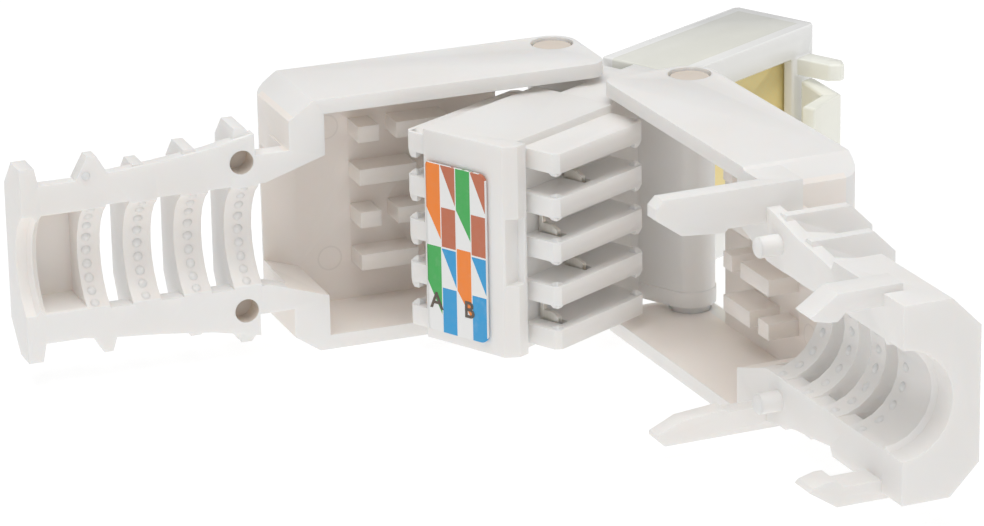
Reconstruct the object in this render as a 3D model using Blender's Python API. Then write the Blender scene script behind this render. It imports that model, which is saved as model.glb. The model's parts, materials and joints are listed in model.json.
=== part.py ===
"""Field termination ethernet plug, modelled open, as it is just before the wires are pressed in.

A clear nose holds a circuit board and eight contacts. Behind it a white wire block carries eight
slotted blades between rows of fingers. Two half shells hinge on the block's pins: closing them
pushes the wires into the blades and clamps the cable. Units are metres. +Y is the direction of
mating, +X is the latch side and +Z is up. Everything is drawn about the middle of the two hinge
axes, and the finished plug is then stood with the centre of its outline on the origin. The shells
are drawn closed, in their own coordinates: d runs outwards from the parting plane, s runs
backwards from the hinge axis, and z is up.
"""

import math

import bmesh
import bpy
from mathutils import Matrix, Vector

SHELL_HEIGHT = 0.0142
SIDE_WALL = 0.0008
BROAD_WALL = 0.0009
PARTING_GAP = 0.0003
HINGE_OFFSET = 0.0048
HINGE_ROUND = 0.00145
PIN_RADIUS = 0.00107
PIN_PLAY = 0.00013
PIN_RECESS = 0.00015
FRONT_CORNER = 0.0010
LEFT_OPEN_DEG = 28.9
RIGHT_OPEN_DEG = 63.6

BROAD_WALL_START = 0.0032
CAVITY_LENGTH = 0.0150
REAR_WALL = 0.0020
REAR_ROUND = 0.0009
SHOULDER_ALONG = 0.0014
SHOULDER_DROP = 0.0011

CABLE_COVER = 0.0042
LEFT_SEAT_OFFSET = 0.0016
THROAT_HALF_HEIGHT = 0.0040
THROAT_LENGTH = 0.0034

TAIL_PROFILE = ((-0.001, 0.0011), (0.002, 0.0014), (0.0046, 0.00195), (0.0075, 0.0023), (0.01, 0.0025))
TAIL_LENGTH = 0.0158
LEFT_TAIL_SHORTER = 0.0009
RAIL_WIDTH = 0.0009
RAIL_DROP = 0.0006
RAIL_DROP_ALONG = 0.0004
TAIL_SHOULDER = 0.0030
TAIL_SHOULDER_DROP = 0.0009
TAIL_DEPTH = 0.0039
TAIL_FOOT_DROP = 0.0024
FIRST_RIB_GAP = 0.0018
RIB_PITCH = 0.00283
RIB_WIDTH = 0.00155
RIB_COUNT = 4
FIRST_WINDOW_GAP = 0.0001
LEFT_WINDOW_HALF_HEIGHT = 0.0047
RIGHT_WINDOW_HALF_HEIGHT = 0.0038
WINDOW_DEPTH_START = 0.0012
LEFT_RIDGES = ((0.00105, 0.0038), (0.00185, 0.0037), (0.0023, 0.0032))
RIGHT_RIDGES = ((0.00135, 0.0053), (0.00183, 0.0051))
RIDGE_SETBACK = 0.0004
RIDGE_CORNER = 0.0012
RIDGE_RISE = 0.0013
RIDGE_LEAD = 0.0004
RIDGE_CREST_START = 0.0006
RIDGE_CREST_END = 0.0012
RIDGE_TRAIL = 0.0001
UPPER_CATCH = (-0.0003, 0.0004, 0.0009, 0.0016, 0.00145)
LOWER_CATCH = (-0.00035, -0.00005, 0.00045, 0.0010, 0.00175)
BAY_DROP = 0.0027
FLANGE_DROP = 0.0017
FLANGE_LENGTH = 0.0008
FLANGE_DEPTH = 0.0034
FLANGE_GUSSET = 0.0002
POCKET_DEPTH = 0.0031
POCKET_HALF_HEIGHT = 0.0027
POCKET_MARGIN = 0.0003
SEAT_TOOTH_HEIGHT = 0.00025

PEG_GAP = 0.0027
PEG_OFFSET = 0.0042
PEG_RADIUS = 0.00055
PEG_LENGTH = 0.0010
PEG_PLAY = 0.00012
PEG_HOLE_EXTRA = 0.0004

ARM_GAP = 0.0003
ARM_WIDTH = 0.00105
ARM_REACH = 0.0060
ARM_ROOT_ALONG = 0.0018
ARM_ROOT_DEPTH = 0.0022
UPPER_ARM_DROP = 0.00015
UPPER_ARM_THICKNESS = 0.0020
LOWER_ARM_DROP = 0.0009
LOWER_ARM_THICKNESS = 0.00125
ARM_BARB = 0.0002
ARM_BARB_START = 0.0020
ARM_TIP_SLOPE = 0.0014
ARM_TIP_ROUND = 0.0004
ARM_CLEARANCE = 0.00025
ARM_SWING_ROOM = 0.0006

END_BLOCK_GAP = 0.0086
END_BLOCK_DROP = 0.00195
END_BLOCK_DEPTH = 0.0044
END_BLOCK_CHAMFER = 0.0016
END_BLOCK_SLOPE = 0.0003
HOOK_GAP = 0.01215
HOOK_WIDTH = 0.0016
HOOK_REACH = 0.0038
HOOK_THICKNESS = 0.0010
HOOK_BARB = 0.0004
HOOK_BARB_NEAR = 0.0019
HOOK_BARB_PEAK = 0.0023
HOOK_BARB_END = 0.0028
HOOK_ROOT_DEPTH = 0.0012
HOOK_CLEARANCE = 0.00012

BAR_START = 0.0066
BAR_END = 0.0119
BAR_GAP = 0.0010
BAR_REACH = 0.0018
BAR_HEIGHT = 0.0009

CORE_BACK = 0.0132
CORE_LEFT = 0.0029
CORE_RIGHT = 0.0025
CORE_SIDE_GAP = 0.0004
CORE_LIP = 0.0006
CORE_LIP_LENGTH = 0.0007
CORE_SLOT_HEIGHT = 0.0037
CORE_SLOT_DEPTH = 0.0005
NECK_START = 0.0038
NECK_LEFT = 0.0011
NECK_RIGHT = 0.0023
NECK_FRONT = 0.0026
ARM_PLATE = 0.0009
BARREL_RADIUS = 0.00138

FINGER_END_MARGIN = 0.00043
FINGER_THICKNESS = 0.0011
FINGER_COUNT = 5
FINGER_TIP_CLEARANCE = 0.0005
RIGHT_FINGER_BACK = 0.0115
RIGHT_FINGER_FRONT = 0.0040
LEFT_FINGER_TIP_CLEARANCE = 0.00095
FINGER_CORNER = 0.0003
FINGER_HOOK = 0.0002
FINGER_HOOK_LENGTH = 0.0006
FINGER_HOOK_DEPTH = 0.0006

BLADE_NEAR_HINGE = 0.0081
BLADE_FAR_HINGE = 0.0102
BLADE_THICKNESS = 0.0003
BLADE_HEIGHT = 0.0020
BLADE_LENGTH = 0.0014
BLADE_FORK = 0.0004
BLADE_FORK_DEPTH = 0.0010
BLADE_FORK_MOUTH = 0.0009
BLADE_PLAY = 0.00015

LABEL_WIDTH = 0.0043
LABEL_THICKNESS = 0.00015
LABEL_GAP = 0.0001
LABEL_LEFT = 0.00275
LABEL_LOW_MARGIN = 0.00065
LABEL_HIGH_MARGIN = 0.0017

NOSE_WIDTH = 0.01168
NOSE_THICKNESS = 0.0057
NOSE_LEFT = -0.0036
NOSE_BACK = 0.0029
NOSE_FRONT = 0.0153
NOSE_WALL = 0.0007
NOSE_EDGE = 0.0003
SIDE_OPENING_FRONT = 0.0131
SIDE_OPENING_RAIL = 0.0017
CONTACT_PITCH = 0.00102
CONTACT_COUNT = 8
CONTACT_THICKNESS = 0.0003
CONTACT_LENGTH = 0.0034
CONTACT_SETBACK = 0.0012
CONTACT_RECESS = 0.0004
CONTACT_PLAY = 0.00013

BOARD_THICKNESS = 0.0010
BOARD_X = 0.0002
BOARD_BACK = 0.0026
BOARD_EDGE_GAP = 0.0003

EAR_WIDTH = 0.0010
EAR_OFFSET = 0.0037
EAR_HEIGHT = 0.0028
EAR_SETBACK = 0.0006
EAR_LENGTH = 0.0013
EAR_CORNER = 0.0005

LATCH_WIDTH = 0.0058
LATCH_LEVER_WIDTH = 0.0034
LATCH_THICKNESS = 0.0008
LATCH_GAP = 0.0003
LATCH_ROOT = 0.0143
LATCH_KNEE = 0.0128
LATCH_KNEE_HEIGHT = 0.0029
LATCH_STEP = 0.0096
LATCH_END = 0.0030
LATCH_END_HEIGHT = 0.0040

ROUND_STEPS = 24
CORNER_STEPS = 4
OVERRUN = 0.002
MERGE = 0.0002

MID = SHELL_HEIGHT / 2
PART = PARTING_GAP / 2
SHELL_DEPTH = HINGE_OFFSET + HINGE_ROUND
INNER_DEPTH = SHELL_DEPTH - BROAD_WALL
BODY_END = CAVITY_LENGTH + REAR_WALL
FIRST_RIB = BODY_END + FIRST_RIB_GAP
ARM_START = BODY_END + ARM_GAP
PEG_STATION = BODY_END + PEG_GAP
END_BLOCK_START = BODY_END + END_BLOCK_GAP
HOOK_START = BODY_END + HOOK_GAP
TAIL_END = BODY_END + TAIL_LENGTH
LEFT_TAIL_END = TAIL_END - LEFT_TAIL_SHORTER
FLANGE_START = LEFT_TAIL_END - FLANGE_LENGTH
TAIL_RADIUS = MID - TAIL_PROFILE[-1][1]
BAY_RADIUS = MID - BAY_DROP
FLANGE_RADIUS = MID - FLANGE_DROP
END_BLOCK_RADIUS = MID - END_BLOCK_DROP
CABLE_RADIUS = MID - CABLE_COVER
EAR_FRONT = NOSE_FRONT - EAR_SETBACK
PIN_HOLE_RADIUS = PIN_RADIUS + PIN_PLAY
CORE_LOW = SIDE_WALL + CORE_SIDE_GAP
CORE_HIGH = SHELL_HEIGHT - CORE_LOW
BAR_TIP = INNER_DEPTH - BAR_REACH
NOSE_RIGHT = NOSE_LEFT + NOSE_THICKNESS
BOARD_FRONT = NOSE_FRONT - NOSE_WALL - BOARD_EDGE_GAP
FINGER_RUN = CORE_HIGH - CORE_LOW - FINGER_THICKNESS - 2 * FINGER_END_MARGIN
FINGER_PITCH = FINGER_RUN / (FINGER_COUNT - 1)
SLOT_CENTRES = [MID + FINGER_PITCH * (1.5 - row) for row in range(FINGER_COUNT - 1)]
WHITE = (0.86, 0.85, 0.83)


def clear_scene():
    for item in list(bpy.data.objects):
        bpy.data.objects.remove(item, do_unlink=True)


def material(name, colour, roughness, metallic=0.0, alpha=1.0):
    """A Principled material with one plain colour."""
    made = bpy.data.materials.new(name)
    made.use_nodes = True
    shader = made.node_tree.nodes["Principled BSDF"]
    shader.inputs["Base Color"].default_value = (*colour, 1.0)
    shader.inputs["Roughness"].default_value = roughness
    shader.inputs["Metallic"].default_value = metallic
    shader.inputs["Alpha"].default_value = alpha
    made.diffuse_color = (*colour, alpha)
    return made


def object_from(bm, name):
    bmesh.ops.recalc_face_normals(bm, faces=bm.faces)
    mesh = bpy.data.meshes.new(name)
    bm.to_mesh(mesh)
    bm.free()
    made = bpy.data.objects.new(name, mesh)
    bpy.context.scene.collection.objects.link(made)
    return made


def stacked(rings, name="solid"):
    """A closed solid through rings of points, each ring having the same count."""
    bm = bmesh.new()
    rows = [[bm.verts.new(point) for point in ring] for ring in rings]
    count = len(rows[0])
    for low, high in zip(rows, rows[1:]):
        for i in range(count):
            j = (i + 1) % count
            bm.faces.new((low[i], low[j], high[j], high[i]))
    bm.faces.new(rows[0])
    bm.faces.new(list(reversed(rows[-1])))
    return object_from(bm, name)


def prism_z(outline, low, high):
    """Extrudes an outline of (x, y) points from low to high in z."""
    return stacked([[(x, y, z) for x, y in outline] for z in (low, high)])


def prism_y(outline, low, high):
    """Extrudes an outline of (x, z) points from low to high in y."""
    return stacked([[(x, y, z) for x, z in outline] for y in (low, high)])


def prism_x(outline, low, high):
    """Extrudes an outline of (y, z) points from low to high in x."""
    return stacked([[(x, y, z) for y, z in outline] for x in (low, high)])


def block(x_span, y_span, z_span):
    (x0, x1), (y0, y1), (z0, z1) = x_span, y_span, z_span
    return prism_z([(x0, y0), (x1, y0), (x1, y1), (x0, y1)], z0, z1)


def arc(cx, cy, radius, start, end, steps):
    """Points on a circle from one angle to another, in degrees, both ends included."""
    angles = [math.radians(start + (end - start) * i / steps) for i in range(steps + 1)]
    return [(cx + radius * math.cos(a), cy + radius * math.sin(a)) for a in angles]


def circle(cx, cy, radius, steps=ROUND_STEPS):
    return arc(cx, cy, radius, 0, 360, steps)[:-1]


def combine(base, parts, operation):
    """Joins parts to the base, or cuts them from it, and leaves one plain mesh."""
    for part in parts:
        cut = base.modifiers.new("step", "BOOLEAN")
        cut.operation = operation
        cut.solver = "EXACT"
        cut.object = part
    graph = bpy.context.evaluated_depsgraph_get()
    mesh = bpy.data.meshes.new_from_object(base.evaluated_get(graph))
    base.modifiers.clear()
    base.data = mesh
    for part in parts:
        bpy.data.objects.remove(part, do_unlink=True)
    return base


def joined(base, parts):
    return combine(base, parts, "UNION")


def carved(base, parts):
    return combine(base, parts, "DIFFERENCE")


def finish(made, name, look):
    """Names a solid, gives it its material and shades its round faces smooth."""
    made.name = name
    made.data.name = name
    made.data.materials.clear()
    made.data.materials.append(look)
    made.data.shade_smooth()
    made.data.set_sharp_from_angle(angle=math.radians(30))
    return made


def shell_plan():
    """Plan of a half shell's body: round at the hinge and at the outer rear corner."""
    corner = arc(PART + FRONT_CORNER, HINGE_ROUND - FRONT_CORNER, FRONT_CORNER, 180, 90, CORNER_STEPS)
    hinge_end = arc(HINGE_OFFSET, 0, HINGE_ROUND, 90, 0, 2 * CORNER_STEPS)
    rear = arc(SHELL_DEPTH - REAR_ROUND, REAR_ROUND - BODY_END, REAR_ROUND, 0, -90, CORNER_STEPS)
    return corner + hinge_end + rear + [(PART, -BODY_END)]


def shell_body():
    """The open box of a half shell, with its pin holes and the gap beside the hinge barrel."""
    body = prism_z(shell_plan(), 0, SHELL_HEIGHT)
    inner_z = (SIDE_WALL, SHELL_HEIGHT - SIDE_WALL)
    front = HINGE_ROUND + OVERRUN
    cuts = [
        block((-OVERRUN, INNER_DEPTH), (-CAVITY_LENGTH, front), inner_z),
        block((-OVERRUN, SHELL_DEPTH + OVERRUN), (-BROAD_WALL_START, front), inner_z),
        prism_z(circle(HINGE_OFFSET, 0, PIN_HOLE_RADIUS), -OVERRUN, SHELL_HEIGHT + OVERRUN),
    ]
    start = -(BODY_END - SHOULDER_ALONG)
    for edge, inward in ((0, 1), (SHELL_HEIGHT, -1)):
        wedge = [
            (start, edge),
            (-BODY_END - MERGE, edge + inward * SHOULDER_DROP),
            (-BODY_END - OVERRUN, edge + inward * SHOULDER_DROP),
            (-BODY_END - OVERRUN, edge - inward * OVERRUN),
            (start, edge - inward * OVERRUN),
        ]
        cuts.append(prism_x(wedge, -OVERRUN, SHELL_DEPTH + OVERRUN))
    return carved(body, cuts)


def both_sides(upper, s):
    """A section at one station from its upper (d, height above the middle) points."""
    lower = [(d, -z) for d, z in reversed(upper)]
    return [(d, -s, MID + z) for d, z in upper + lower]


def tail_section(radius, s):
    """The tail's section: a rail beside the parting plane and a lower, rounder back."""
    upper = [
        (PART, radius),
        (RAIL_WIDTH, radius),
        (RAIL_WIDTH + RAIL_DROP_ALONG, radius - RAIL_DROP),
        (TAIL_SHOULDER, radius - TAIL_SHOULDER_DROP),
        (TAIL_DEPTH, radius - TAIL_FOOT_DROP),
    ]
    return both_sides(upper, s)


def cornered_section(start, depth, radius, corner, s):
    """A plain half section from the given start, with its two outer corners cut off."""
    return both_sides([(start, radius), (depth - corner, radius), (depth, radius - corner)], s)


def ridge(radius, depth, rib_start):
    """A rib that stands out of the tail's back, sloping on the side of the hinge."""
    stations = (
        (rib_start - RIDGE_LEAD, radius - RIDGE_RISE),
        (rib_start + RIDGE_CREST_START, radius),
        (rib_start + RIDGE_CREST_END, radius),
        (rib_start + RIB_WIDTH - RIDGE_TRAIL, radius - RIDGE_RISE),
    )
    sections = []
    for s, height in stations:
        low = depth - (radius - height) / 2
        sections.append(cornered_section(RIDGE_SETBACK, low, height, RIDGE_CORNER, s))
    return stacked(sections)


def ridges(sizes):
    starts = [start for start, end in rib_spans()]
    return [ridge(MID - drop, depth, start) for (drop, depth), start in zip(sizes, starts)]


def tail(stations):
    """The tail's outside, lofted through its profile and then through the given stations."""
    profile = [(BODY_END + gap, MID - drop) for gap, drop in TAIL_PROFILE]
    kept = [(s, radius) for s, radius in profile if s < stations[0][0]]
    return stacked([tail_section(radius, s) for s, radius in kept + stations])


def catches():
    """One tooth above and one below on the rails, at the last rib."""
    last_rib = rib_spans()[-1][0]
    parts = []
    for (foot, crest, crest_end, end, drop), sign in ((UPPER_CATCH, 1), (LOWER_CATCH, -1)):
        radius = MID - drop
        heights = ((foot, BAY_RADIUS), (crest, radius), (crest_end, radius), (end, BAY_RADIUS))
        outline = [(-(last_rib + gap), MID + sign * height) for gap, height in heights]
        parts.append(prism_x(outline, PART, RAIL_WIDTH + MERGE))
    return parts


def left_tail():
    """The left tail: ridges, catches on its rails, and a flange round the cable's way out."""
    last_rib = rib_spans()[-1][0]
    stations = [
        (last_rib, TAIL_RADIUS),
        (last_rib + RIB_WIDTH, BAY_RADIUS),
        (LEFT_TAIL_END - MERGE, BAY_RADIUS),
    ]
    edges = (
        (FLANGE_START - FLANGE_GUSSET, BAY_RADIUS),
        (FLANGE_START, FLANGE_RADIUS),
        (LEFT_TAIL_END, FLANGE_RADIUS),
    )
    flange = stacked([
        cornered_section(PART, FLANGE_DEPTH, radius, END_BLOCK_CHAMFER, s) for s, radius in edges
    ])
    return [tail(stations), flange] + catches() + ridges(LEFT_RIDGES)


def right_tail():
    """The right tail: a square-edged block round the cable's way out."""
    start = END_BLOCK_START
    stack = [(start - END_BLOCK_SLOPE, TAIL_RADIUS), (start, END_BLOCK_RADIUS), (TAIL_END, END_BLOCK_RADIUS)]
    block_end = stacked([
        cornered_section(PART, END_BLOCK_DEPTH, radius, END_BLOCK_CHAMFER, s) for s, radius in stack
    ])
    return [tail([(END_BLOCK_START + END_BLOCK_SLOPE, TAIL_RADIUS)]), block_end] + ridges(RIGHT_RIDGES)


def rib_spans():
    starts = [FIRST_RIB + i * RIB_PITCH for i in range(RIB_COUNT)]
    return [(start, start + RIB_WIDTH) for start in starts]


def window_cuts(half_height):
    """Windows between the tail's ribs: as high as the cable's way, and higher behind the rails."""
    spans = rib_spans()
    starts = [BODY_END + FIRST_WINDOW_GAP] + [end for begin, end in spans[:-1]]
    ends = [begin for begin, end in spans]
    cuts = []
    for depth, half in ((-OVERRUN, CABLE_RADIUS), (WINDOW_DEPTH_START, half_height)):
        d_span = (depth, SHELL_DEPTH + OVERRUN)
        z_span = (MID - half, MID + half)
        cuts += [block(d_span, (-end, -start), z_span) for start, end in zip(starts, ends)]
    return cuts


def cable_way(offset):
    """Round cutter along the tail, its centre the given offset beyond the parting plane."""
    radius = math.hypot(CABLE_RADIUS, offset)
    profile = [
        (BODY_END - REAR_WALL, radius),
        (FLANGE_START - SEAT_TOOTH_HEIGHT, radius),
        (FLANGE_START, radius - SEAT_TOOTH_HEIGHT),
        (FLANGE_START + SEAT_TOOTH_HEIGHT, radius),
        (TAIL_END + OVERRUN, radius),
    ]
    return stacked([[(d, -s, MID + z) for d, z in circle(-offset, 0, size)] for s, size in profile])


def throat():
    """Opening in the rear wall that narrows, in height only, from the cavity to the cable."""
    sides = [
        (CAVITY_LENGTH - OVERRUN, THROAT_HALF_HEIGHT),
        (CAVITY_LENGTH, THROAT_HALF_HEIGHT),
        (CAVITY_LENGTH + THROAT_LENGTH, CABLE_RADIUS),
    ]
    outline = [(-s, MID + z) for s, z in sides] + [(-s, MID - z) for s, z in reversed(sides)]
    return prism_x(outline, -OVERRUN, INNER_DEPTH)


def press_bars(split_near):
    """Bars that push the wires down: a short and a long one a row, either side of its blade."""
    bars = []
    for row, z in enumerate(SLOT_CENTRES):
        near = (row % 2 == 0) == split_near
        middle = BLADE_NEAR_HINGE if near else BLADE_FAR_HINGE
        spans = ((BAR_START, middle - BAR_GAP / 2), (middle + BAR_GAP / 2, BAR_END))
        z_span = (z - BAR_HEIGHT / 2, z + BAR_HEIGHT / 2)
        for start, end in spans:
            bars.append(block((BAR_TIP, INNER_DEPTH + BROAD_WALL / 2), (-end, -start), z_span))
    return bars


def mirrored_z(points):
    """The same (x, z) outline on the other side of the plug's middle plane."""
    return [(x, SHELL_HEIGHT - z) for x, z in reversed(points)]


def arm_outline(top, thickness, barb):
    """An arm seen along the cable, as (d, z) points, with a sloped and rounded tip."""
    under = top - thickness
    return [
        (ARM_ROOT_DEPTH, under),
        (ARM_ROOT_DEPTH, top),
        (-ARM_REACH + ARM_TIP_ROUND, top),
        (-ARM_REACH, top - ARM_TIP_ROUND),
        (-ARM_REACH, top - thickness / 2),
        (-ARM_REACH + ARM_TIP_SLOPE, under),
        (-ARM_BARB_START - MERGE, under - barb),
        (-ARM_BARB_START, under),
    ]


def snap_arms():
    """Two long arms beside the cable that reach over the other half shell."""
    upper = arm_outline(SHELL_HEIGHT - UPPER_ARM_DROP, UPPER_ARM_THICKNESS, ARM_BARB)
    lower = arm_outline(SHELL_HEIGHT - LOWER_ARM_DROP, LOWER_ARM_THICKNESS, ARM_BARB)
    y_span = (-(ARM_START + ARM_WIDTH), -ARM_START)
    root_y = (y_span[0], -(ARM_START - ARM_ROOT_ALONG))
    parts = []
    for shape in (upper, mirrored_z(lower)):
        heights = [z for x, z in shape if x > 0]
        parts.append(prism_y(shape, *y_span))
        parts.append(block((PART, ARM_ROOT_DEPTH), root_y, (min(heights), max(heights))))
    return parts


def tail_hooks():
    """Two hooks at the cable end that snap over the other half shell's tail."""
    under = MID + BAY_RADIUS + HOOK_CLEARANCE
    barb = under - HOOK_BARB
    top = under + HOOK_THICKNESS
    outline = [
        (HOOK_ROOT_DEPTH, under - HOOK_THICKNESS),
        (HOOK_ROOT_DEPTH, top),
        (-HOOK_BARB_PEAK, top),
        (-HOOK_REACH, under),
        (-HOOK_REACH + HOOK_BARB / 2, under - HOOK_BARB / 2),
        (-HOOK_BARB_END, barb),
        (-HOOK_BARB_PEAK, barb),
        (-HOOK_BARB_NEAR, under),
        (PART, under),
        (PART, under - HOOK_THICKNESS),
    ]
    y_span = (-(HOOK_START + HOOK_WIDTH), -HOOK_START)
    return [prism_y(outline, *y_span), prism_y(mirrored_z(outline), *y_span)]


def alignment_cylinders(start, end, radius):
    """Cylinders across the parting plane, above and below the cable."""
    parts = []
    for z in (MID - PEG_OFFSET, MID + PEG_OFFSET):
        rings = [
            [(d, -PEG_STATION + radius * math.cos(a), z + radius * math.sin(a))
             for a in [2 * math.pi * i / ROUND_STEPS for i in range(ROUND_STEPS)]]
            for d in (start, end)
        ]
        parts.append(stacked(rings))
    return parts


def left_notches():
    """Room in the left tail for the arms of the right half shell, above and below."""
    upper_floor = SHELL_HEIGHT - UPPER_ARM_DROP - UPPER_ARM_THICKNESS - ARM_BARB - ARM_CLEARANCE
    lower_floor = LOWER_ARM_DROP + LOWER_ARM_THICKNESS + ARM_BARB + ARM_CLEARANCE
    y_span = (-(ARM_START + ARM_WIDTH + ARM_SWING_ROOM), -BODY_END)
    d_span = (-OVERRUN, SHELL_DEPTH + OVERRUN)
    return [
        block(d_span, y_span, (upper_floor, SHELL_HEIGHT + OVERRUN)),
        block(d_span, y_span, (-OVERRUN, lower_floor)),
    ]


def left_pocket():
    """A shallow pocket in the closed bay next to the left flange."""
    last_rib_end = rib_spans()[-1][1]
    y_span = (-(FLANGE_START - POCKET_MARGIN), -(last_rib_end + POCKET_MARGIN))
    z_span = (MID - POCKET_HALF_HEIGHT, MID + POCKET_HALF_HEIGHT)
    return block((-OVERRUN, POCKET_DEPTH), y_span, z_span)


def hang_on_pin(shell, side, open_deg):
    """Moves a closed shell's origin to its hinge axis, mirrors it if needed and opens it."""
    shell.data.transform(Matrix.Translation((-HINGE_OFFSET, 0, 0)))
    if side < 0:
        shell.data.transform(Matrix.Scale(-1, 4, (1, 0, 0)))
        shell.data.flip_normals()
    shell.location = (side * HINGE_OFFSET, 0, 0)
    shell.rotation_euler = (0, 0, side * math.radians(open_deg))


def make_right_shell(look):
    shell = joined(shell_body(), right_tail())
    shell = carved(shell, [cable_way(0), throat()] + window_cuts(RIGHT_WINDOW_HALF_HEIGHT))
    pegs = alignment_cylinders(-PEG_LENGTH, PEG_LENGTH, PEG_RADIUS)
    shell = joined(shell, press_bars(True) + pegs + snap_arms() + tail_hooks())
    hang_on_pin(shell, 1, RIGHT_OPEN_DEG)
    return finish(shell, "right_shell", look)


def make_left_shell(look):
    shell = joined(shell_body(), left_tail())
    holes = alignment_cylinders(-PEG_LENGTH, PEG_LENGTH + PEG_HOLE_EXTRA, PEG_RADIUS + PEG_PLAY)
    cuts = [cable_way(LEFT_SEAT_OFFSET), throat(), left_pocket()]
    shell = carved(shell, cuts + window_cuts(LEFT_WINDOW_HALF_HEIGHT) + holes + left_notches())
    shell = joined(shell, press_bars(False))
    hang_on_pin(shell, -1, LEFT_OPEN_DEG)
    return finish(shell, "left_shell", look)


def finger(side, z, root, tip, front, back):
    """One finger of the wire block, with a barb above and below at both outer corners."""
    half = FINGER_THICKNESS / 2
    plan = [
        (side * root, -front),
        (side * (tip - FINGER_CORNER), -front),
        (side * tip, -front - FINGER_CORNER),
        (side * tip, -back + FINGER_CORNER),
        (side * (tip - FINGER_CORNER), -back),
        (side * root, -back),
    ]
    x_span = sorted((side * (tip - FINGER_CORNER - FINGER_HOOK_DEPTH), side * (tip - FINGER_CORNER)))
    z_span = (z - half - FINGER_HOOK, z + half + FINGER_HOOK)
    front_y = (-front - FINGER_CORNER - FINGER_HOOK_LENGTH, -front - FINGER_CORNER)
    back_y = (-back + FINGER_CORNER, -back + FINGER_CORNER + FINGER_HOOK_LENGTH)
    return [prism_z(plan, z - half, z + half), block(x_span, front_y, z_span), block(x_span, back_y, z_span)]


def blade_places():
    """Side, row centre, and station of each of the eight blades."""
    for side in (-1, 1):
        for row, z in enumerate(SLOT_CENTRES):
            near = (row % 2 == 0) == (side > 0)
            yield side, z, BLADE_NEAR_HINGE if near else BLADE_FAR_HINGE


def blade_root(side):
    return (CORE_RIGHT if side > 0 else CORE_LEFT) + BLADE_PLAY


def blade_grooves():
    """Grooves in the fingers that hold the blades' edges."""
    grooves = []
    for side, z, station in blade_places():
        root = blade_root(side)
        x_span = sorted((side * root, side * (root + BLADE_LENGTH + BLADE_PLAY)))
        half_y = BLADE_THICKNESS / 2 + BLADE_PLAY
        half_z = BLADE_HEIGHT / 2 + BLADE_PLAY
        grooves.append(block(x_span, (-station - half_y, -station + half_y), (z - half_z, z + half_z)))
    return grooves


def hinge_arms():
    """The cross arms above and below, round at both hinge axes, and a web to the right barrel."""
    right_end = arc(HINGE_OFFSET, 0, HINGE_ROUND, -90, 90, 2 * CORNER_STEPS)
    left_end = arc(-HINGE_OFFSET, 0, HINGE_ROUND, 90, 270, 2 * CORNER_STEPS)
    spans = ((CORE_LOW, CORE_LOW + ARM_PLATE), (CORE_HIGH - ARM_PLATE, CORE_HIGH))
    web_z = (CORE_LOW + MERGE, CORE_HIGH - MERGE)
    web = block((NECK_RIGHT - MERGE, HINGE_OFFSET), (-BARREL_RADIUS, BARREL_RADIUS), web_z)
    return [prism_z(right_end + left_end, low, high) for low, high in spans] + [web]


def hinge_pins():
    """A barrel between the arms and a thinner pin through both shell walls, on each side."""
    parts = []
    for side in (-1, 1):
        axis = side * HINGE_OFFSET
        parts.append(prism_z(circle(axis, 0, BARREL_RADIUS), CORE_LOW + MERGE, CORE_HIGH - MERGE))
        parts.append(prism_z(circle(axis, 0, PIN_RADIUS), PIN_RECESS, SHELL_HEIGHT - PIN_RECESS))
    return parts


def board_slot():
    half_gap = BOARD_EDGE_GAP / 2
    x_span = (BOARD_X - half_gap, BOARD_X + BOARD_THICKNESS + half_gap)
    low, high = board_heights()
    y_span = (-BOARD_BACK - BOARD_EDGE_GAP, NECK_FRONT + OVERRUN)
    return block(x_span, y_span, (low - BOARD_EDGE_GAP, high + BOARD_EDGE_GAP))


def board_heights():
    reach = NOSE_WIDTH / 2 - NOSE_WALL - BOARD_EDGE_GAP
    return MID - reach, MID + reach


def make_wire_block(look):
    lip_front = -(CORE_BACK - CORE_LIP - CORE_LIP_LENGTH)
    plan = [
        (-CORE_LEFT, -CORE_BACK),
        (CORE_RIGHT, -CORE_BACK),
        (CORE_RIGHT + CORE_LIP, -CORE_BACK + CORE_LIP),
        (CORE_RIGHT + CORE_LIP, lip_front),
        (CORE_RIGHT, lip_front),
        (CORE_RIGHT, -NECK_START),
        (NECK_RIGHT, -NECK_START),
        (NECK_RIGHT, NECK_FRONT),
        (-NECK_LEFT, NECK_FRONT),
        (-NECK_LEFT, -NECK_START),
        (-CORE_LEFT, -NECK_START),
    ]
    core = prism_z(plan, CORE_LOW, CORE_HIGH)
    fingers = []
    for row in range(FINGER_COUNT):
        z = MID + FINGER_PITCH * (row - (FINGER_COUNT - 1) / 2)
        tip = INNER_DEPTH - FINGER_TIP_CLEARANCE
        left_tip = INNER_DEPTH - LEFT_FINGER_TIP_CLEARANCE
        fingers += finger(1, z, CORE_RIGHT - MERGE, tip, RIGHT_FINGER_FRONT, RIGHT_FINGER_BACK)
        fingers += finger(-1, z, CORE_LEFT - MERGE, left_tip, NECK_START, CORE_BACK - MERGE)
    core = joined(core, fingers + hinge_arms() + hinge_pins())
    slot_x = (CORE_RIGHT + CORE_LIP - CORE_SLOT_DEPTH, CORE_RIGHT + CORE_LIP + OVERRUN)
    slot_z = (MID - CORE_SLOT_HEIGHT / 2, MID + CORE_SLOT_HEIGHT / 2)
    slot = block(slot_x, (-CORE_BACK - OVERRUN, lip_front - MERGE), slot_z)
    core = carved(core, blade_grooves() + [board_slot(), slot])
    return finish(core, "wire_block", look)


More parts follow.
